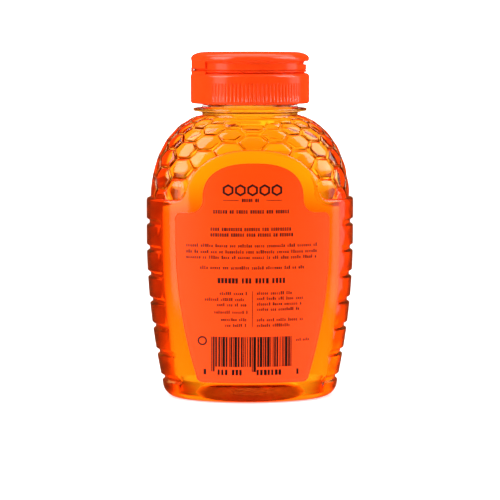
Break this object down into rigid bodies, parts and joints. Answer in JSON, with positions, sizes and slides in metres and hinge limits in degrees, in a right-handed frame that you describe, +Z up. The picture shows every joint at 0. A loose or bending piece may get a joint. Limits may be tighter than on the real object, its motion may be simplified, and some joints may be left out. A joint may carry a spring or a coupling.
{
  "type": "squeeze bottle",
  "caption": "Oval squeeze bottle filled with honey, with a honeycomb shoulder, ribbed sides, a paper-thin label on each face and a screw-on flip-top cap.",
  "frame": {"origin": "middle of the bounding box's bottom, on the surface the bottle stands on", "axes": "+Z up along the neck; -Y is the face with the small-print label shown in the picture; +X is the right-hand side of that view, so the cap's hinge is near -X"},
  "size_m": [0.0794, 0.0514, 0.1326],
  "materials": {
    "bottle_plastic": "gloss",
    "honey": "gloss",
    "seal_foil": "satin",
    "liner_foam": "matte",
    "cap_plastic": "satin",
    "label_film": "satin"
  },
  "bodies": {
    "bottle_body": {"bottle": "bottle_plastic", "honey_fill": "honey", "inner_seal": "seal_foil", "back_label": "label_film", "front_label": "label_film"},
    "liner": {"cap_liner": "liner_foam"},
    "cap": {"cap_base": "cap_plastic", "hinge_film": "cap_plastic"},
    "lid": {"flip_lid": "cap_plastic"}
  },
  "joints": [
    {"name": "cap_rise", "type": "slide", "parent": "bottle_body", "child": "liner", "axis": [0, 0, 1], "range_m": [0, 0.0064]},
    {"name": "cap_turn", "type": "hinge", "parent": "liner", "child": "cap", "pos_m": [0, 0, 0.1129], "axis": [0, 0, 1], "range_deg": [0, 540]},
    {"name": "lid_hinge", "type": "hinge", "parent": "cap", "child": "lid", "pos_m": [-0.02232, -0.00195, 0.12565], "axis": [0.0872, -0.9962, 0], "range_deg": [0, 165], "deforming": ["hinge_film"]}
  ],
  "couplings": [
    {"joint": "cap_rise", "follows": "cap_turn", "m_per_rad": 0.0006737}
  ]
}
